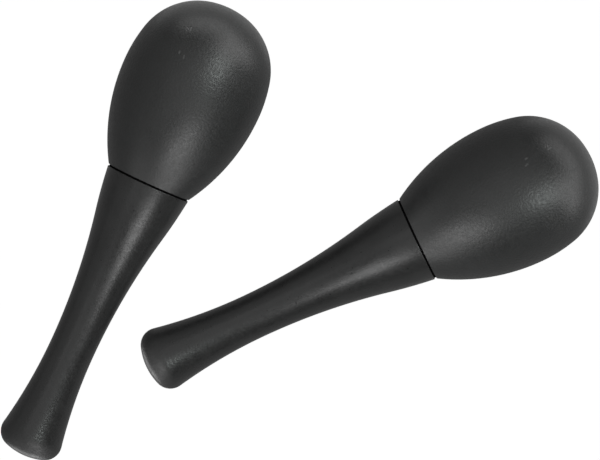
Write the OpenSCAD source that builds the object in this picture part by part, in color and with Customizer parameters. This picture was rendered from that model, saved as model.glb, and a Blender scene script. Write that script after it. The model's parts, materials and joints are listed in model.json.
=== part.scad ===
// A pair of egg maracas, lying loose on a surface.
// Each maraca is an egg-shaped head of two welded shells, with loose steel shot sealed inside it,
// plugged into a waisted handle that is moulded in one piece around a tapered core.
// Every piece is drawn on its maraca's own axis, with the butt of the handle at the origin and the
// head towards +Z. lay_down() then tips it over onto the surface z = 0, where the maraca rests on
// the belly of its head and on the rounded corner of its butt.

/* [Maraca] */
// Length from the butt of the handle to the top of the head
maraca_len = 151.5; // [150:0.5:152.5]
// Wall of the moulded shells
wall = 2; // [1.6:0.1:2.4]
// Height of the shadow gap between the handle and the head
seam_gap = 0.6; // [0.3:0.1:1]
// Depth of the shadow gap, from the handle's rim to the land that the head rests on
seam_depth = 0.4; // [0.3:0.05:1.2]
// Rounding of the two edges that face each other across the gap
seam_edge_r = 0.15; // [0.1:0.05:0.25]

/* [Head] */
// Diameter at the belly, the widest place
head_d = 45; // [44.5:0.5:46.5]
// Distance from the butt to the belly
belly_at = 124.5; // [124:0.25:125]
// Radius of the arc over the top of the head
crown_r = 25; // [24:0.5:26]
// Half of the angle that the crown's arc covers
crown_deg = 13; // [12:0.5:14]
// Radius of the arc between the crown and the flank above the belly
shoulder_r = 20.8; // [20.6:0.05:20.9]
// Radius of the arc from the belly down to the handle
lower_flank_r = 61; // [60:0.5:62]

/* [Handle] */
// Distance from the butt to the handle's rim
rim_at = 92.1; // [91.5:0.1:92.5]
// Outer diameter at the rim
rim_d = 27; // [26.6:0.1:27.4]
// Angle between the flared side and the axis, where the flare is steepest
flare_deg = 11.6; // [11.3:0.1:11.8]
// Radius of the hollow arc above the waist
upper_waist_r = 205; // [203:0.5:206]
// Diameter of the waist, the narrowest place
waist_d = 14; // [13.5:0.1:14.5]
// Distance from the butt to the waist
waist_at = 36.5; // [36:0.5:38]
// Diameter of the butt, just above its rounded corner
butt_d = 19.7; // [19.2:0.1:20.5]
// Radius of the domed end of the butt
butt_dome_r = 19; // [16:0.5:24]
// Radius of the rounded corner around the butt
butt_corner_r = 5.25; // [4.8:0.05:5.6]

/* [Plug joint] */
// Outer diameter of the head's spigot, which plugs into the handle
spigot_d = 21.2; // [20.6:0.1:21.6]
// Length of the spigot
spigot_len = 8; // [6:0.5:10]
// Height of the snap bead around the spigot
bead_h = 0.4; // [0.2:0.05:0.5]

/* [Shot] */
// Diameter of one steel ball
shot_d = 4; // [3.5:0.1:4.5]
// Depth of the heap, from the middle of its lowest ball to the middle of its highest
heap_depth = 5.6; // [4.5:0.1:6]

/* [Layout] */
// Direction of the left maraca, clockwise from +Y as seen from above
left_turn = 24.6; // [15:0.1:35]
// Direction of the right maraca, clockwise from +Y as seen from above
right_turn = 64.8; // [55:0.1:75]
// Place of the left maraca's butt on the surface
left_butt = [-84.8, -68.7]; // [-95:0.1:95]
// Place of the right maraca's butt on the surface
right_butt = [-46.9, -41.5]; // [-95:0.1:95]

/* [Hidden] */
$fn = 96;

// Largest distance between an arc and the straight edges that draw it
outline_error = 0.006;
// Straight edges in one rounded edge
rounding_steps = 5;
// Clearance between parts that are pushed or welded together
fit_gap = 0.05;

// Head: its outline is four arcs, each tangent to the next, in the plane of [radius, height].
head_r = head_d / 2;
head_base = rim_at + seam_gap;
crown_centre = [0, maraca_len - crown_r];
shoulder_centre = crown_centre + (crown_r - shoulder_r) * [sin(crown_deg), cos(crown_deg)];
shoulder_out = shoulder_centre.x - head_r;
shoulder_up = shoulder_centre.y - belly_at;
upper_flank_r = (shoulder_r ^ 2 - shoulder_out ^ 2 - shoulder_up ^ 2)
    / (2 * (shoulder_out + shoulder_r));
upper_flank_centre = [head_r - upper_flank_r, belly_at];
upper_flank_deg = atan2(shoulder_up, shoulder_centre.x - upper_flank_centre.x);
lower_flank_centre = [head_r - lower_flank_r, belly_at];

// Handle: the butt's dome and corner, the waist's two hollow arcs, and the flare up to the rim.
butt_dome_centre = [0, butt_dome_r];
dome_deg = asin((butt_d / 2 - butt_corner_r) / (butt_dome_r - butt_corner_r));
butt_corner_centre = butt_dome_centre
    + (butt_dome_r - butt_corner_r) * [sin(dome_deg), -cos(dome_deg)];
waist_r = waist_d / 2;
waist_out = waist_r - butt_corner_centre.x;
waist_up = waist_at - butt_corner_centre.y;
lower_waist_r = (waist_out ^ 2 + waist_up ^ 2 - butt_corner_r ^ 2)
    / (2 * (butt_corner_r - waist_out));
lower_waist_centre = [waist_r + lower_waist_r, waist_at];
lower_waist_deg = atan2(waist_at - butt_corner_centre.y,
    lower_waist_centre.x - butt_corner_centre.x);
upper_waist_centre = [waist_r + upper_waist_r, waist_at];
flare_start = upper_waist_centre + upper_waist_r * [-cos(flare_deg), sin(flare_deg)];
flare_normal = [cos(flare_deg), -sin(flare_deg)];
flare_chord = [rim_d / 2, rim_at] - flare_start;
flare_r = -(flare_chord * flare_chord) / (2 * flare_chord * flare_normal);
flare_centre = flare_start - flare_r * flare_normal;

// Weld between the head's two shells: a tongue on the dome in a groove in the cup.
tongue_mid_r = head_r - wall / 2;
tongue_w = 0.7;
tongue_len = 1.5;

// Plug joint
spigot_r = spigot_d / 2;
spigot_wall = 1.6;
spigot_end = head_base - spigot_len;
spigot_lead = 0.6;
bead_at = head_base - 0.6 * spigot_len;
bead_r = 0.8;
floor_under = head_base + 0.4;
floor_top = floor_under + wall;
land_r = rim_d / 2 - seam_depth;
socket_r = spigot_r + fit_gap;
socket_end = spigot_end - 0.6;
socket_lead = 0.4;
core_tip_r = 4.4;
core_tip_at = 6;
core_tip_rounding = 2;

// Shot: the balls lie in rows around the wall, in two layers, a little apart from each other.
shot_gap = 0.3;
shot_pitch = shot_d + 0.1;
bed_inset = wall + shot_gap + shot_d / 2;
top_inset = bed_inset + shot_pitch;
shot_rows = 8;
shot_columns = 6;

// Resting place: the surface touches the lower flank's arc and the butt's corner arc.
flank_reach = lower_flank_centre - butt_corner_centre;
rest_tilt = acos((butt_corner_r - lower_flank_r) / norm(flank_reach))
    - 90 + atan2(flank_reach.x, flank_reach.y);
butt_height = butt_corner_centre * [cos(rest_tilt), -sin(rest_tilt)] + butt_corner_r;
belly_touch_at = belly_at - lower_flank_r * sin(rest_tilt);
heap_top = bed_inset + heap_depth;

// ---- outlines, in the plane of [radius, height] ----

// Points along an arc, with angles measured from the radius axis towards the height axis.
function arc(centre, radius, from, to) =
    let (
        widest_step = 2 * acos(1 - outline_error / radius),
        steps = max(1, ceil(abs(to - from) / widest_step))
    )
    [
        for (i = [0:steps])
            let (a = from + (to - from) * i / steps)
            centre + radius * [cos(a), sin(a)]
    ];

function unit(v) = v / norm(v);

// Points that round off a corner of an outline.
function rounded(before, corner, after, radius) =
    let (
        u = unit(before - corner),
        v = unit(after - corner),
        half_deg = acos(u * v) / 2,
        centre = corner + unit(u + v) * radius / sin(half_deg),
        first = corner + u * radius / tan(half_deg) - centre,
        start = atan2(first.y, first.x),
        sweep = (180 - 2 * half_deg) * sign(u.x * v.y - u.y * v.x)
    )
    [
        for (i = [0:rounding_steps])
            let (a = start - sweep * i / rounding_steps)
            centre + radius * [cos(a), sin(a)]
    ];

// An outline's points without those that repeat the point before.
function tidy(points) = [
    for (i = [0:len(points) - 1])
        if (i == 0 || norm(points[i] - points[i - 1]) > outline_error / 4)
            points[i]
];

function backwards(points) = [for (i = [len(points) - 1:-1:0]) points[i]];

function last(points) = points[len(points) - 1];

// Head's outline from the top down to the belly, moved in by inset.
function above_belly(inset) = concat(
    arc(crown_centre, crown_r - inset, 90, 90 - crown_deg),
    arc(shoulder_centre, shoulder_r - inset, 90 - crown_deg, upper_flank_deg),
    arc(upper_flank_centre, upper_flank_r - inset, upper_flank_deg, 0)
);

// Head's outline from the belly down to a height, moved in by inset.
function below_belly(inset, height) =
    arc(lower_flank_centre, lower_flank_r - inset,
        0, -asin((belly_at - height) / (lower_flank_r - inset)));

// Handle's outline from the butt up to the waist.
function below_waist() = concat(
    arc(butt_dome_centre, butt_dome_r, -90, dome_deg - 90),
    arc(butt_corner_centre, butt_corner_r, dome_deg - 90, lower_waist_deg),
    arc(lower_waist_centre, lower_waist_r, 180 + lower_waist_deg, 180)
);

// Handle's outline from the waist up to a height, moved in by inset.
function above_waist(inset, height) = concat(
    arc(upper_waist_centre, upper_waist_r + inset, 180, 180 - flare_deg),
    arc(flare_centre, flare_r - inset,
        -flare_deg, asin((height - flare_centre.y) / (flare_r - inset)))
);

// The raised bead around the spigot, from its top to its bottom, or the groove that takes it.
function bead(radius, height) =
    let (reach_deg = acos((bead_r - height) / bead_r))
    arc([radius + height - bead_r, bead_at], bead_r, reach_deg, -reach_deg);

// Distance from the axis to an arc of the outline, at a height.
function arc_r(centre, radius, height) = centre.x + sqrt(radius ^ 2 - (height - centre.y) ^ 2);

// Distance from the axis to the head's outline moved in by inset, at a height below the crown.
function cavity_r(height, inset) =
    height < belly_at
        ? arc_r(lower_flank_centre, lower_flank_r - inset, height)
        : height < belly_at + (upper_flank_r - inset) * sin(upper_flank_deg)
            ? arc_r(upper_flank_centre, upper_flank_r - inset, height)
            : arc_r(shoulder_centre, shoulder_r - inset, height);

// ---- pieces, upright on their own axis ----

module turned(points) {
    rotate_extrude()
        polygon(tidy(points));
}

// Upper shell of the head, with the tongue of the weld around its edge.
module head_dome() {
    color([0.15, 0.15, 0.15])
        turned(concat(
            above_belly(0),
            [
                [tongue_mid_r + tongue_w / 2, belly_at],
                [tongue_mid_r + tongue_w / 2, belly_at - tongue_len],
                [tongue_mid_r - tongue_w / 2, belly_at - tongue_len],
                [tongue_mid_r - tongue_w / 2, belly_at]
            ],
            backwards(above_belly(wall))
        ));
}

// Lower shell of the head: the groove of the weld, the floor, and the spigot for the handle.
module head_cup() {
    flank = below_belly(0, head_base);
    mouth = last(flank);
    above_mouth = below_belly(0, head_base + 2 * seam_edge_r);
    groove_out = tongue_mid_r + tongue_w / 2 + fit_gap;
    groove_in = tongue_mid_r - tongue_w / 2 - fit_gap;
    groove_end = belly_at - tongue_len - 2 * fit_gap;
    color([0.15, 0.15, 0.15])
        turned(concat(
            above_mouth,
            rounded(last(above_mouth), mouth, [0, head_base], seam_edge_r),
            [[spigot_r, head_base]],
            bead(spigot_r, bead_h),
            [
                [spigot_r, spigot_end + spigot_lead],
                [spigot_r - spigot_lead / 2, spigot_end],
                [spigot_r - spigot_wall, spigot_end],
                [spigot_r - spigot_wall, floor_under],
                [0, floor_under],
                [0, floor_top]
            ],
            backwards(below_belly(wall, floor_top)),
            [
                [groove_in, belly_at],
                [groove_in, groove_end],
                [groove_out, groove_end],
                [groove_out, belly_at]
            ]
        ));
}

// Waisted handle with the socket for the head and the tapered core behind it.
module handle() {
    rim = [rim_d / 2, rim_at];
    below_rim = above_waist(0, rim_at - 2 * seam_edge_r);
    color([0.18, 0.18, 0.18])
        turned(concat(
            below_waist(),
            below_rim,
            rounded(last(below_rim), rim, [0, rim_at], seam_edge_r),
            [
                [land_r, rim_at],
                [land_r, head_base],
                [socket_r + socket_lead, head_base],
                [socket_r, head_base - socket_lead]
            ],
            bead(socket_r, bead_h),
            [[socket_r, socket_end]],
            backwards(above_waist(wall, socket_end)),
            rounded([waist_r - wall, waist_at], [core_tip_r, core_tip_at],
                [0, core_tip_at], core_tip_rounding),
            [[0, core_tip_at]]
        ));
}

// One layer of the heap of shot, as far as the heap's level top reaches up the wall.
// The side of the head that lies on the surface is +Y in the maraca's own axes.
module shot_layer(inset) {
    color("silver")
        for (row = [-shot_rows:shot_rows]) {
            height = belly_touch_at + row * shot_pitch;
            ring_r = cavity_r(height, inset);
            step_deg = 2 * asin(shot_pitch / 2 / ring_r);
            shift = (row % 2 == 0) ? 0 : 0.5;
            for (column = [-shot_columns:shot_columns]) {
                side = ring_r * sin((column + shift) * step_deg);
                down = ring_r * cos((column + shift) * step_deg);
                above_surface = butt_height + height * sin(rest_tilt) - down * cos(rest_tilt);
                if (above_surface <= heap_top)
                    translate([side, down, height])
                        sphere(d = shot_d);
            }
        }
}

module shot_bed() {
    shot_layer(bed_inset);
}

module shot_top() {
    shot_layer(top_inset);
}

// ---- the pair on its surface ----

module lay_down(butt, turn) {
    translate([butt.x, butt.y, butt_height])
        rotate([0, 0, -turn])
            rotate([rest_tilt - 90, 0, 0])
                children();
}

module left() {
    lay_down(left_butt, left_turn)
        children();
}

module right() {
    lay_down(right_butt, right_turn)
        children();
}

module left_head_dome() { left() head_dome(); }
module left_head_cup() { left() head_cup(); }
module left_handle() { left() handle(); }
module left_shot_bed() { left() shot_bed(); }
module left_shot_top() { left() shot_top(); }
module right_head_dome() { right() head_dome(); }
module right_head_cup() { right() head_cup(); }
module right_handle() { right() handle(); }
module right_shot_bed() { right() shot_bed(); }
module right_shot_top() { right() shot_top(); }

left_head_dome();
left_head_cup();
left_handle();
left_shot_bed();
left_shot_top();
right_head_dome();
right_head_cup();
right_handle();
right_shot_bed();
right_shot_top();
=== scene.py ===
"""The looks of a pair of black plastic egg maracas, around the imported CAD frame.

Each maraca is three turned shells (head dome, head cup and handle) that stand for their CAD nodes.
They are drawn on the maraca's own axes, in millimetres: the butt of the handle is at the origin,
the head is towards +Z and the side that lies on the floor is +Y.
"""

import json
import math

import bpy
import numpy as np
from mathutils import Matrix, Vector

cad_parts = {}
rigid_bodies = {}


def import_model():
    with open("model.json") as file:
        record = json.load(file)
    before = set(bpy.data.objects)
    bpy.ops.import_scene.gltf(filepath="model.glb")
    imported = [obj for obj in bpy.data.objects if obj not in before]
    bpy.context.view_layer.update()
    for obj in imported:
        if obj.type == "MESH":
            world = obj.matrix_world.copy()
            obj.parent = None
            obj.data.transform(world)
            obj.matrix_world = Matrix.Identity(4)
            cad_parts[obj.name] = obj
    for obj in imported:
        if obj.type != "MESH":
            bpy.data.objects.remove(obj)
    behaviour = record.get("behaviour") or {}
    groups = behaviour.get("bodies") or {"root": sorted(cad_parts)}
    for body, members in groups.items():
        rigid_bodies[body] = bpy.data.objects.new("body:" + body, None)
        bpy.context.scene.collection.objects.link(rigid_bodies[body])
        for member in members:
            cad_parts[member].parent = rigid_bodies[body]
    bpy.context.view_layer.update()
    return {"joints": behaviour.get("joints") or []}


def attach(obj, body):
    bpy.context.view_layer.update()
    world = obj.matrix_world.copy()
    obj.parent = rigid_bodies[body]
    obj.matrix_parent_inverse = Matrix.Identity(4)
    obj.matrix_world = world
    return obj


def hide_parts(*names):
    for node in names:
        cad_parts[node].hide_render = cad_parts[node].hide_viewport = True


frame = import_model()

MM = 0.001
UP = Vector((0, 0, 1))
SIDES = ("left", "right")

# ---- sizes of one maraca, in mm and degrees, as in the CAD source ----

MARACA_LEN = 151.5
WALL = 2.0
SEAM_GAP = 0.6
SEAM_DEPTH = 0.4
SEAM_EDGE_R = 0.15
HEAD_R = 22.5
BELLY_AT = 124.5
CROWN_R = 25.0
CROWN_DEG = 13.0
SHOULDER_R = 20.8
LOWER_FLANK_R = 61.0
RIM_AT = 92.1
RIM_R = 13.5
FLARE_DEG = 11.6
UPPER_WAIST_R = 205.0
WAIST_R = 7.0
WAIST_AT = 36.5
BUTT_R = 9.85
BUTT_DOME_R = 19.0
BUTT_CORNER_R = 5.25
SPIGOT_R = 10.6
SPIGOT_LEN = 8.0
SPIGOT_WALL = 1.6
SPIGOT_LEAD = 0.6
BEAD_SHARE = 0.6
BEAD_H = 0.4
BEAD_R = 0.8
FIT_GAP = 0.05
TONGUE_MID_R = HEAD_R - WALL / 2
TONGUE_W = 0.7
TONGUE_LEN = 1.5
FLOOR_RISE = 0.4
SOCKET_LEAD = 0.4
SOCKET_SPARE = 0.6
CORE_TIP_R = 4.4
CORE_TIP_AT = 6.0
CORE_TIP_ROUNDING = 2.0

HEAD_BASE = RIM_AT + SEAM_GAP
SPIGOT_END = HEAD_BASE - SPIGOT_LEN
BEAD_AT = HEAD_BASE - BEAD_SHARE * SPIGOT_LEN
FLOOR_UNDER = HEAD_BASE + FLOOR_RISE
FLOOR_TOP = FLOOR_UNDER + WALL
LAND_R = RIM_R - SEAM_DEPTH
SOCKET_R = SPIGOT_R + FIT_GAP
SOCKET_END = SPIGOT_END - SOCKET_SPARE


def polar(centre, radius, degrees):
    """The point at this distance and angle from a centre."""
    a = math.radians(degrees)
    return (centre[0] + radius * math.cos(a), centre[1] + radius * math.sin(a))


def degrees_of(rise, run):
    return math.degrees(math.atan2(rise, run))


crown_centre = (0.0, MARACA_LEN - CROWN_R)
shoulder_centre = polar(crown_centre, CROWN_R - SHOULDER_R, 90 - CROWN_DEG)
shoulder_out = shoulder_centre[0] - HEAD_R
shoulder_up = shoulder_centre[1] - BELLY_AT
upper_flank_r = (SHOULDER_R**2 - shoulder_out**2 - shoulder_up**2) / (2 * (shoulder_out + SHOULDER_R))
upper_flank_centre = (HEAD_R - upper_flank_r, BELLY_AT)
upper_flank_deg = degrees_of(shoulder_up, shoulder_centre[0] - upper_flank_centre[0])
lower_flank_centre = (HEAD_R - LOWER_FLANK_R, BELLY_AT)

butt_dome_centre = (0.0, BUTT_DOME_R)
dome_deg = math.degrees(math.asin((BUTT_R - BUTT_CORNER_R) / (BUTT_DOME_R - BUTT_CORNER_R)))
butt_corner_centre = polar(butt_dome_centre, BUTT_DOME_R - BUTT_CORNER_R, dome_deg - 90)
waist_out = WAIST_R - butt_corner_centre[0]
waist_up = WAIST_AT - butt_corner_centre[1]
lower_waist_r = (waist_out**2 + waist_up**2 - BUTT_CORNER_R**2) / (2 * (BUTT_CORNER_R - waist_out))
lower_waist_centre = (WAIST_R + lower_waist_r, WAIST_AT)
lower_waist_deg = degrees_of(waist_up, lower_waist_centre[0] - butt_corner_centre[0])
upper_waist_centre = (WAIST_R + UPPER_WAIST_R, WAIST_AT)
flare_start = polar(upper_waist_centre, UPPER_WAIST_R, 180 - FLARE_DEG)
flare_normal = polar((0, 0), 1, -FLARE_DEG)
chord = (RIM_R - flare_start[0], RIM_AT - flare_start[1])
chord_on_normal = chord[0] * flare_normal[0] + chord[1] * flare_normal[1]
flare_r = -(chord[0] ** 2 + chord[1] ** 2) / (2 * chord_on_normal)
flare_centre = (
    flare_start[0] - flare_r * flare_normal[0],
    flare_start[1] - flare_r * flare_normal[1],
)

# ---- outlines: strokes of (point, normal), with the solid on the same side all the way round ----

LONGEST_STEP = 0.9
WIDEST_TURN = 3.0
SAME_POINT = 1e-4


def arc(centre, radius, start, end):
    """Points along an arc, angles in degrees from the radius axis towards the height axis."""
    length = radius * math.radians(abs(end - start))
    turn_steps = math.ceil(abs(end - start) / WIDEST_TURN)
    steps = max(2, math.ceil(length / LONGEST_STEP), turn_steps)
    side = 1 if end < start else -1
    stroke = []
    for i in range(steps + 1):
        a = start + (end - start) * i / steps
        stroke.append((polar(centre, radius, a), polar((0, 0), side, a)))
    return stroke


def line(*points):
    """Straight strokes through these points."""
    strokes = []
    for p, q in zip(points, points[1:]):
        d = Vector((q[0] - p[0], q[1] - p[1])).normalized()
        strokes.append([(p, (-d.y, d.x)), (q, (-d.y, d.x))])
    return strokes


def rounded(before, corner, after, radius):
    """The arc that rounds off a corner between two straight or nearly straight strokes."""
    c = Vector(corner)
    u = (Vector(before) - c).normalized()
    v = (Vector(after) - c).normalized()
    half = math.acos(u.dot(v)) / 2
    centre = c + (u + v).normalized() * radius / math.sin(half)
    first = c + u * radius / math.tan(half) - centre
    start = degrees_of(first.y, first.x)
    sweep = 180 - 2 * math.degrees(half)
    turn = 1 if u.x * v.y - u.y * v.x > 0 else -1
    return arc(tuple(centre), radius, start, start - turn * sweep)


def above_belly(inset):
    """The head from its top to its widest place, this far inside its outer surface."""
    return [
        arc(crown_centre, CROWN_R - inset, 90, 90 - CROWN_DEG),
        arc(shoulder_centre, SHOULDER_R - inset, 90 - CROWN_DEG, upper_flank_deg),
        arc(upper_flank_centre, upper_flank_r - inset, upper_flank_deg, 0),
    ]


def below_belly(inset, height):
    """The head from its widest place down to this height, this far inside its outer surface."""
    radius = LOWER_FLANK_R - inset
    return arc(lower_flank_centre, radius, 0, -math.degrees(math.asin((BELLY_AT - height) / radius)))


def below_waist():
    """The outside of the handle from its waist to the end of the butt."""
    return [
        arc(lower_waist_centre, lower_waist_r, 180, 180 + lower_waist_deg),
        arc(butt_corner_centre, BUTT_CORNER_R, lower_waist_deg, dome_deg - 90),
        arc(butt_dome_centre, BUTT_DOME_R, dome_deg - 90, -90),
    ]


def above_waist(inset, height):
    """The handle from this height down to its waist, this far inside its outer surface."""
    radius = flare_r - inset
    top = math.degrees(math.asin((height - flare_centre[1]) / radius))
    return [
        arc(flare_centre, radius, top, -FLARE_DEG),
        arc(upper_waist_centre, UPPER_WAIST_R + inset, 180 - FLARE_DEG, 180),
    ]


def bead(radius):
    """The bead around the spigot, from its top to its bottom, or the groove that takes it."""
    reach = math.degrees(math.asin(math.sqrt(BEAD_R**2 - (BEAD_R - BEAD_H) ** 2) / BEAD_R))
    return arc((radius + BEAD_H - BEAD_R, BEAD_AT), BEAD_R, reach, -reach)


def backwards(strokes):
    """The same strokes drawn the other way, with the solid on their other side."""
    return [[(p, (-n[0], -n[1])) for p, n in reversed(s)] for s in reversed(strokes)]


def chained(*parts):
    """These strokes and lists of strokes in order, with straight strokes across the gaps."""
    strokes = []
    for part in parts:
        for stroke in part if isinstance(part[0], list) else [part]:
            if strokes and math.dist(strokes[-1][-1][0], stroke[0][0]) > SAME_POINT:
                strokes += line(strokes[-1][-1][0], stroke[0][0])
            strokes.append(stroke)
    return strokes


def closed(*parts):
    """chained(), and a last straight stroke back to the start."""
    strokes = chained(*parts)
    last, first = strokes[-1][-1][0], strokes[0][0][0]
    if math.dist(last, first) > SAME_POINT:
        strokes += line(last, first)
    return strokes


def head_dome():
    """The head's upper shell, with the tongue that enters the cup."""
    out, inside = TONGUE_MID_R + TONGUE_W / 2, TONGUE_MID_R - TONGUE_W / 2
    end = BELLY_AT - TONGUE_LEN
    return closed(
        above_belly(0),
        line((out, BELLY_AT), (out, end), (inside, end), (inside, BELLY_AT)),
        backwards(above_belly(WALL)),
    )


def head_cup():
    """The head's lower shell, with its floor and the spigot that plugs into the handle."""
    mouth = below_belly(0, HEAD_BASE)[-1][0]
    flank = below_belly(0, HEAD_BASE + 2 * SEAM_EDGE_R)
    groove_out = TONGUE_MID_R + TONGUE_W / 2 + FIT_GAP
    groove_in = TONGUE_MID_R - TONGUE_W / 2 - FIT_GAP
    groove_end = BELLY_AT - TONGUE_LEN - 2 * FIT_GAP
    return closed(
        flank,
        rounded(flank[-1][0], mouth, (0, HEAD_BASE), SEAM_EDGE_R),
        line((SPIGOT_R + 1, HEAD_BASE), (SPIGOT_R, HEAD_BASE)),
        bead(SPIGOT_R),
        line(
            (SPIGOT_R, SPIGOT_END + SPIGOT_LEAD),
            (SPIGOT_R - SPIGOT_LEAD / 2, SPIGOT_END),
            (SPIGOT_R - SPIGOT_WALL, SPIGOT_END),
            (SPIGOT_R - SPIGOT_WALL, FLOOR_UNDER),
            (0, FLOOR_UNDER),
            (0, FLOOR_TOP),
            (1, FLOOR_TOP),
        ),
        backwards([below_belly(WALL, FLOOR_TOP)]),
        line(
            (groove_in, BELLY_AT), (groove_in, groove_end),
            (groove_out, groove_end), (groove_out, BELLY_AT),
        ),
    )


def handle():
    """The handle, with its socket and its tapered core."""
    below_rim = above_waist(0, RIM_AT - 2 * SEAM_EDGE_R)
    inside = chained(
        line(
            (LAND_R, RIM_AT), (LAND_R, HEAD_BASE), (SOCKET_R + SOCKET_LEAD, HEAD_BASE),
            (SOCKET_R, HEAD_BASE - SOCKET_LEAD),
        ),
        bead(SOCKET_R),
        line((SOCKET_R, SOCKET_END + 1), (SOCKET_R, SOCKET_END)),
        above_waist(WALL, SOCKET_END),
        rounded(
            (WAIST_R - WALL, WAIST_AT), (CORE_TIP_R, CORE_TIP_AT), (0, CORE_TIP_AT),
            CORE_TIP_ROUNDING,
        ),
        line((1, CORE_TIP_AT), (0, CORE_TIP_AT)),
    )
    return closed(
        rounded((0, RIM_AT), (RIM_R, RIM_AT), below_rim[0][0][0], SEAM_EDGE_R),
        below_rim,
        below_waist(),
        backwards(inside),
    )


AROUND = 192
ON_AXIS = 1e-6


def turned(name, strokes, place):
    """A closed shell made by turning strokes about the height axis, with exact normals.

    Its vertices are in the row frame. The attribute "own" keeps each one's place in mm on the
    maraca's own axes, which is what the materials are drawn in.
    """
    angles = np.arange(AROUND) * 2 * math.pi / AROUND
    cos, sin = np.cos(angles), np.sin(angles)
    verts, faces, normals, rings = [], [], [], []

    def ring(p):
        """The first vertex of the ring through this point, and how many it has."""
        for q, first, size in rings[-1:] + rings[:1]:
            if math.dist(p, q) < SAME_POINT:
                return first, size
        first = len(verts)
        if p[0] < ON_AXIS:
            verts.append((0, 0, p[1]))
            rings.append((p, first, 1))
        else:
            verts.extend((p[0] * c, p[0] * s, p[1]) for c, s in zip(cos, sin))
            rings.append((p, first, AROUND))
        return rings[-1][1:]

    def normal(n, k):
        return (n[0] * cos[k % AROUND], n[0] * sin[k % AROUND], n[1])

    for stroke in strokes:
        for (p, n), (q, m) in zip(stroke, stroke[1:]):
            (i, i_size), (j, j_size) = ring(p), ring(q)
            if i_size == j_size == 1:
                continue
            for k in range(AROUND):
                k2 = (k + 1) % AROUND
                if i_size == 1:
                    faces.append((i, j + k, j + k2))
                    normals += [normal(n, k), normal(m, k), normal(m, k2)]
                elif j_size == 1:
                    faces.append((i + k, j, i + k2))
                    normals += [normal(n, k), normal(m, k), normal(n, k2)]
                else:
                    faces.append((i + k, j + k, j + k2, i + k2))
                    normals += [normal(n, k), normal(m, k), normal(m, k2), normal(n, k2)]
    turn = np.array(place.to_3x3())
    verts = np.array(verts)
    mesh = bpy.data.meshes.new(name)
    mesh.from_pydata((verts * MM) @ turn.T + np.array(place.translation), [], faces)
    own_places = mesh.attributes.new("own", "FLOAT_VECTOR", "POINT")
    own_places.data.foreach_set("vector", verts.astype(np.float32).ravel())
    mesh.update()
    mesh.shade_smooth()
    mesh.normals_split_custom_set(np.array(normals) @ turn.T)
    obj = bpy.data.objects.new(name, mesh)
    bpy.context.scene.collection.objects.link(obj)
    return obj


# ---- where each maraca lies, from the hinge along its own axis ----

def own_axes(side):
    """The maraca's own axes and butt in the row frame, as a matrix."""
    hinge = next(j for j in frame["joints"] if j["name"] == side + "_shot_swirl")
    z = Vector(hinge["axis"]).normalized()
    y = -(UP - z * z.z).normalized()
    x = y.cross(z)
    place = Matrix((x, y, z)).transposed().to_4x4()
    place.translation = Vector(hinge["pos_m"]) - z * BELLY_AT * MM
    return place


own = {side: own_axes(side) for side in SIDES}

# ---- materials ----


class Nodes:
    """A material's node tree, with short calls for the nodes used here."""

    def __init__(self, name):
        self.material = bpy.data.materials.new(name)
        self.material.use_nodes = True
        self.tree = self.material.node_tree
        self.tree.nodes.clear()

    def add(self, kind, inputs=None, **settings):
        """A new node with these settings, and with a link or a value on each of these inputs."""
        node = self.tree.nodes.new(kind)
        for key, value in settings.items():
            setattr(node, key, value)
        for key, value in (inputs or {}).items():
            if isinstance(value, bpy.types.NodeSocket):
                self.tree.links.new(value, node.inputs[key])
            else:
                node.inputs[key].default_value = value
        return node

    def noise(self, at, scale, detail=2.0, roughness=0.5):
        """Noise from 0 to 1, with this many features to the unit that at is in."""
        made = self.add("ShaderNodeTexNoise", {
            "Vector": at, "Scale": scale, "Detail": detail, "Roughness": roughness,
        })
        return made.outputs["Fac"]

    def spread(self, value, low, high, from_low=0.3, from_high=0.7):
        """The value moved from its own range to low..high, and held inside it."""
        made = self.add("ShaderNodeMapRange", {
            "Value": value,
            "From Min": from_low, "From Max": from_high, "To Min": low, "To Max": high,
        })
        return made.outputs["Result"]

    def maths(self, operation, a, b):
        return self.add("ShaderNodeMath", {0: a, 1: b}, operation=operation).outputs[0]

    def mix(self, factor, a, b):
        """The colour a where the factor is 0, and b where it is 1."""
        made = self.add("ShaderNodeMix", {0: factor, 6: a, 7: b}, data_type="RGBA")
        return made.outputs[2]


def mark(n, at, start, end, width):
    """1 on a short straight mark between two points, in mm, fading to 0 at width from it."""
    start, end = Vector(start), Vector(end)
    run = end - start
    share = run / run.length_squared
    here = n.add("ShaderNodeVectorMath", {0: at, 1: start}, operation="SUBTRACT").outputs[0]
    along = n.add("ShaderNodeVectorMath", {0: here, 1: share}, operation="DOT_PRODUCT")
    along = n.add("ShaderNodeClamp", {"Value": along.outputs["Value"]}).outputs[0]
    foot = n.add("ShaderNodeVectorMath", {0: run, "Scale": along}, operation="SCALE").outputs[0]
    away = n.add("ShaderNodeVectorMath", {0: here, 1: foot}, operation="DISTANCE")
    return n.spread(away.outputs["Value"], 1, 0, width / 3, width)


def on_head(across, height):
    """The point of the head's upper side at this distance across and this height, in mm."""
    strokes = [*above_belly(0), below_belly(0, HEAD_BASE)]
    outline = [point for stroke in reversed(strokes) for point, _ in reversed(stroke)]
    r = np.interp(height, [point[1] for point in outline], [point[0] for point in outline])
    return (across, -math.sqrt(r**2 - across**2), height)


# Each noise of the black plastic is (detail, roughness), and the clouds start with features per mm.
GRAIN_NOISE = (1.0, 0.3)
MOTTLE_NOISE = (2.0, 0.6)
CLOUD_NOISE = (0.18, 3.0, 0.55)
GRAIN_GLOSS = 0.04
MARK_DEPTH = 0.6
SCUFF_START = 0.7
SCUFF_END = 1.0


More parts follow.
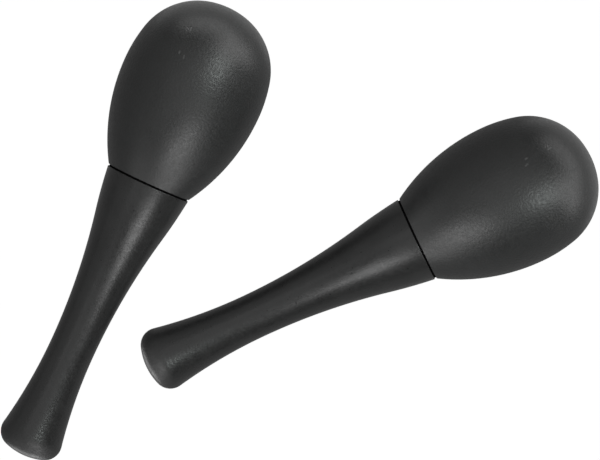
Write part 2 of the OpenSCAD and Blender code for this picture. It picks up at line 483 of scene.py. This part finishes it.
def black_plastic(name, colours, rough, grain, fades, mottle, marks=(), scuffed=None):
    """Moulded black plastic: a fine grain, a slower mottle of its gloss, faint clouds and marks.

    grain is (features per mm, depth in mm) and mottle is (features per mm, spread of the roughness).
    Each of fades is (from, to, strength at from, strength at to) for the grain between two heights
    in mm. Each of marks is (start, end, width, grey) and is sunk into the grain. scuffed is
    (from, to, added roughness) for a band of heights.
    """
    n = Nodes(name)
    at = n.add("ShaderNodeAttribute", attribute_name="own").outputs["Vector"]
    z = n.add("ShaderNodeSeparateXYZ", {0: at}).outputs["Z"]
    height = n.noise(at, grain[0], *GRAIN_NOISE)
    strength = 1.0
    for start, end, before, after in fades:
        fade = n.spread(z, before, after, start, end)
        strength = n.maths("MULTIPLY", strength, fade)
    cloud = n.noise(at, *CLOUD_NOISE)
    colour = n.mix(n.spread(cloud, 0, 1), *((*c, 1) for c in colours))
    gloss = n.spread(n.noise(at, mottle[0], *MOTTLE_NOISE), rough - mottle[1], rough + mottle[1])
    roughness = n.maths("ADD", gloss, n.spread(height, -GRAIN_GLOSS, GRAIN_GLOSS))
    if scuffed:
        start, end, added = scuffed
        rise = n.spread(z, 0, added, start - SCUFF_START, start + SCUFF_START)
        fall = n.spread(z, 1, 0, end - SCUFF_END, end + SCUFF_END)
        roughness = n.maths("ADD", roughness, n.maths("MULTIPLY", rise, fall))
    for start, end, width, grey in marks:
        mask = mark(n, at, start, end, width)
        colour = n.mix(mask, colour, (grey, grey, grey, 1))
        height = n.maths("ADD", height, n.maths("MULTIPLY", mask, -MARK_DEPTH))
    bump = n.add("ShaderNodeBump", {
        "Strength": strength,
        "Distance": grain[1] * MM,
        "Height": height,
    })
    shader = n.add("ShaderNodeBsdfPrincipled", {
        "Base Color": colour,
        "Roughness": roughness,
        "IOR": 1.5,
        "Normal": bump.outputs["Normal"],
    })
    n.add("ShaderNodeOutputMaterial", {"Surface": shader.outputs[0]})
    return n.material


def seam_painted_shade():
    """Painted shade for the land at the bottom of the seam, which hardly any light reaches: near-black
    and barely reflecting, it stands in for the shadow in the narrow gap.
    """
    n = Nodes("seam_painted_shade")
    at = n.add("ShaderNodeAttribute", attribute_name="own").outputs["Vector"]
    fine = n.noise(at, scale=4.0)
    # Near-black painted shade for the seam's shadow, with a faint random tone.
    colour = n.mix(n.spread(fine, 0, 1), (0.001, 0.001, 0.001, 1), (0.003, 0.003, 0.003, 1))
    bump = n.add("ShaderNodeBump", {"Strength": 0.5, "Distance": 0.02 * MM, "Height": fine})
    shader = n.add("ShaderNodeBsdfPrincipled", {
        "Base Color": colour,
        "Roughness": n.spread(fine, low=0.85, high=0.95),
        "Specular IOR Level": 0.05,
        "Normal": bump.outputs["Normal"],
    })
    n.add("ShaderNodeOutputMaterial", {"Surface": shader.outputs[0]})
    return n.material


def steel():
    """Bright steel shot, a little scuffed from rolling about."""
    n = Nodes("shot_steel")
    at = n.add("ShaderNodeTexCoord").outputs["Object"]
    scuffs = n.noise(at, scale=900.0, detail=4.0, roughness=0.65)
    tone = n.noise(at, scale=160.0)
    colour = n.mix(n.spread(tone, 0, 1), (0.46, 0.46, 0.47, 1), (0.58, 0.58, 0.59, 1))
    bump = n.add("ShaderNodeBump", {"Strength": 0.6, "Distance": 0.02 * MM, "Height": scuffs})
    shader = n.add("ShaderNodeBsdfPrincipled", {
        "Base Color": colour,
        "Metallic": 1.0,
        "Roughness": n.spread(scuffs, low=0.2, high=0.36),
        "Normal": bump.outputs["Normal"],
    })
    n.add("ShaderNodeOutputMaterial", {"Surface": shader.outputs[0]})
    return n.material


# A V-shaped nick with a fleck beside it, and two flecks lower down.
MARKS = (
    (on_head(-8.7, 141.0), on_head(-8.0, 140.6), 0.3, 0.045),
    (on_head(-7.6, 141.5), on_head(-7.45, 140.5), 0.35, 0.06),
    (on_head(-8.6, 140.1), on_head(-8.5, 140.0), 0.35, 0.05),
    (on_head(-7.75, 133.4), on_head(-7.65, 132.9), 0.4, 0.05),
    (on_head(-6.0, 132.9), on_head(-5.75, 132.1), 0.35, 0.042),
)
head_plastic = black_plastic(
    "head_plastic",
    colours=((0.0144, 0.0147, 0.0146), (0.017, 0.0173, 0.0172)),
    rough=0.44,
    grain=(1.45, 0.085),
    fades=((97, 120, 0.35, 0.95), (136, 148, 1.0, 0.4)),
    mottle=(0.6, 0.03),
    marks=MARKS,
)
handle_plastic = black_plastic(
    "handle_plastic",
    colours=((0.014, 0.014, 0.014), (0.017, 0.017, 0.017)),
    rough=0.335,
    grain=(1.45, 0.05),
    fades=((20, 50, 1.0, 0.5),),
    mottle=(0.5, 0.04),
    scuffed=(1.8, 6.5, 0.2),
)
# Painted shade for the bottom of the seam's groove.
groove_painted_shade = seam_painted_shade()
shot_steel = steel()

# ---- the pieces ----

PIECES = (
    ("head_dome", head_dome, "head", head_plastic),
    ("head_cup", head_cup, "head", head_plastic),
    ("handle", handle, "handle", handle_plastic),
)
SLACK = 0.01


def paint_groove_shade(mesh):
    """The second material, the seam's painted shade, on the faces that lie within the seam's groove."""
    places = mesh.attributes["own"].data
    for face in mesh.polygons:
        heights = [places[v].vector.z for v in face.vertices]
        if RIM_AT - SLACK < min(heights) and max(heights) < HEAD_BASE + SLACK:
            face.material_index = 1


pieces_of = {}
for side in SIDES:
    pieces_of[side] = bpy.data.collections.new(side + "_pieces")
    for part, outline, slot, material in PIECES:
        piece = turned(side + "_" + part + "_shell", outline(), own[side])
        piece.data.materials.append(material)
        # The groove's faces get the near-black painted shade that stands in for the seam's shadow.
        piece.data.materials.append(groove_painted_shade)
        paint_groove_shade(piece.data)
        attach(piece, side + "_maraca")
        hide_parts(side + "_" + part)
        pieces_of[side].objects.link(piece)

# The shot is left as drawn in the CAD.
for side in SIDES:
    for layer in ("_shot_bed", "_shot_top"):
        shot = bpy.data.objects[side + layer]
        shot.data.materials.clear()
        shot.data.materials.append(shot_steel)

# ---- camera ----

# The way from the aim back to the camera is in degrees: round from -Y towards +X, and up.
# The other lengths are in metres.
CAMERA_BACK_FROM = (-45.0, 86.0)
CAMERA_DISTANCE = 1.5
SEEN_WIDTH = 0.18493
AIM = Vector((0.00023, 0.00047, 0.016))


def camera():
    turn, rise = (math.radians(v) for v in CAMERA_BACK_FROM)
    back = Vector((math.sin(turn) * math.cos(rise), -math.cos(turn) * math.cos(rise), math.sin(rise)))
    up = (Vector((0, 1, 0)) - back * back.y).normalized()
    right = up.cross(back)
    made = bpy.data.objects.new("camera", bpy.data.cameras.new("camera"))
    made.data.lens = made.data.sensor_width * CAMERA_DISTANCE / SEEN_WIDTH
    made.data.clip_start = 0.1
    made.data.clip_end = 10.0
    made.matrix_world = Matrix((right, up, back)).transposed().to_4x4()
    made.location = AIM + back * CAMERA_DISTANCE
    bpy.context.scene.collection.objects.link(made)
    bpy.context.scene.camera = made


camera()

# ---- floor and world ----

FLOOR_HALF = 3.0
FLOOR_SEEN = 1.0
FLOOR_MATT = 0.25
FLOOR_GLOW = 0.27
GLOW_FLOOR_AT = -0.001
WORLD_SEEN = 1.0
AMBIENT = 0.03


def floor(name, height, emitted, matt):
    """A white square that gives off this much light, and this share of what falls on it."""
    corners = [(FLOOR_HALF * x, FLOOR_HALF * y, height) for x, y in ((-1, -1), (1, -1), (1, 1), (-1, 1))]
    mesh = bpy.data.meshes.new(name)
    mesh.from_pydata(corners, [], [(0, 1, 2, 3)])
    obj = bpy.data.objects.new(name, mesh)
    n = Nodes(name + "_white")
    emit = n.add("ShaderNodeEmission", {"Color": (1, 1, 1, 1), "Strength": emitted})
    paint = n.add("ShaderNodeBsdfDiffuse", {"Color": (matt, matt, matt, 1)})
    both = n.add("ShaderNodeAddShader", {0: emit.outputs[0], 1: paint.outputs[0]})
    n.add("ShaderNodeOutputMaterial", {"Surface": both.outputs[0]})
    mesh.materials.append(n.material)
    bpy.context.scene.collection.objects.link(obj)
    return obj


# The camera sees one floor, and the maracas are lit by the other.
seen_floor = floor("floor", 0.0, FLOOR_SEEN, FLOOR_MATT)
seen_floor.visible_diffuse = seen_floor.visible_glossy = seen_floor.visible_shadow = False
glow_floor = floor("floor_glow", GLOW_FLOOR_AT, FLOOR_GLOW, 0.0)
glow_floor.visible_camera = False


def world(seen, unseen):
    """A white surround that the camera sees at one strength and everything else at another."""
    made = bpy.data.worlds.new("studio")
    made.use_nodes = True
    tree = made.node_tree
    tree.nodes.clear()
    path = tree.nodes.new("ShaderNodeLightPath")
    mix = tree.nodes.new("ShaderNodeMixShader")
    out = tree.nodes.new("ShaderNodeOutputWorld")
    tree.links.new(path.outputs["Is Camera Ray"], mix.inputs[0])
    for socket, strength in ((mix.inputs[1], unseen), (mix.inputs[2], seen)):
        white = tree.nodes.new("ShaderNodeBackground")
        white.inputs["Color"].default_value = (1, 1, 1, 1)
        white.inputs["Strength"].default_value = strength
        tree.links.new(white.outputs[0], socket)
    tree.links.new(mix.outputs[0], out.inputs["Surface"])
    bpy.context.scene.world = made


world(WORLD_SEEN, AMBIENT)

# ---- lights ----

# Each maraca has the same softboxes around it, turned with it, and they light only that maraca.
# name: degrees down from overhead, degrees round from the maraca's right side towards its head,
# width and height in degrees as seen from the maraca, and radiance.
# They stand this many metres from a point this many mm up the maraca from its butt.
LIGHT_DISTANCE = 0.9
LIT_FROM_BUTT = 90.0
SOFTBOXES = {
    "lower_key": (48, 303, 30, 19, 7.2),
    "low_key": (72, 306, 30, 18, 1.8),
    "upper_key": (31, 36, 9, 9, 36.0),
    "upper_glow": (60, 58, 34, 46, 3.0),
    "side_glow": (84, 42, 24, 12, 3.0),
    "end_card": (78, 105, 60, 24, 2.5),
    "butt_card": (78, 256, 44, 28, 1.2),
    "butt_strip": (84, 295, 30, 12, 3.2),
    "rim_card": (86, 303, 24, 8, 3.2),
    "overhead": (6, 180, 54, 54, 0.64),
    "left_fill": (55, 200, 80, 60, 0.34),
}
TINTS = {"upper_key": (0.92, 1.0, 0.97)}
WHITE = (1, 1, 1)
# Patches of lit floor around each maraca, which light only that maraca, too.
# name: from and to across, from and to along from the butt, in mm, and radiance.
# They lie this many mm above the floor.
PATCH_HEIGHT = 0.5
FLOOR_PATCHES = {
    "end_patch": (-80, 40, 152, 230, 0.4),
    "butt_patch": (-12, 6, -34, -8, 1.3),
    "butt_side_patch": (4, 18, -32, -12, 3.6),
}


def flat_axes(side):
    """Across to the maraca's right and along to its head, both level."""
    along = own[side].col[2].to_3d()
    along = Vector((along.x, along.y, 0)).normalized()
    return along.cross(UP), along


def area_light(side, name, x, z, at, width, height, radiance):
    """A rectangle that shines along -z on one maraca's pieces, with its width along x."""
    data = bpy.data.lights.new(side + "_" + name, "AREA")
    data.shape = "RECTANGLE"
    data.size, data.size_y = width, height
    data.energy = radiance * math.pi * width * height
    data.color = TINTS.get(name, WHITE)
    obj = bpy.data.objects.new(side + "_" + name, data)
    obj.matrix_world = Matrix((x, z.cross(x), z)).transposed().to_4x4()
    obj.location = at
    obj.visible_camera = False
    obj.light_linking.receiver_collection = pieces_of[side]
    bpy.context.scene.collection.objects.link(obj)


for side in SIDES:
    across, along = flat_axes(side)
    middle = own[side] @ Vector((0, 0, LIT_FROM_BUTT * MM))
    for name, (down, turn, width, height, radiance) in SOFTBOXES.items():
        down, turn = math.radians(down), math.radians(turn)
        level = across * math.cos(turn) + along * math.sin(turn)
        away = level * math.sin(down) + UP * math.cos(down)
        at = middle + away * LIGHT_DISTANCE
        sizes = [2 * LIGHT_DISTANCE * math.tan(math.radians(v) / 2) for v in (width, height)]
        area_light(side, name, level.cross(-UP), away, at, *sizes, radiance)
    for name, (t0, t1, s0, s1, radiance) in FLOOR_PATCHES.items():
        butt = own[side].translation
        at = Vector((butt.x, butt.y, PATCH_HEIGHT * MM))
        at += across * (t0 + t1) / 2 * MM + along * (s0 + s1) / 2 * MM
        area_light(side, name, across, -UP, at, (t1 - t0) * MM, (s1 - s0) * MM, radiance)

bpy.context.scene.view_settings.view_transform = "Standard"
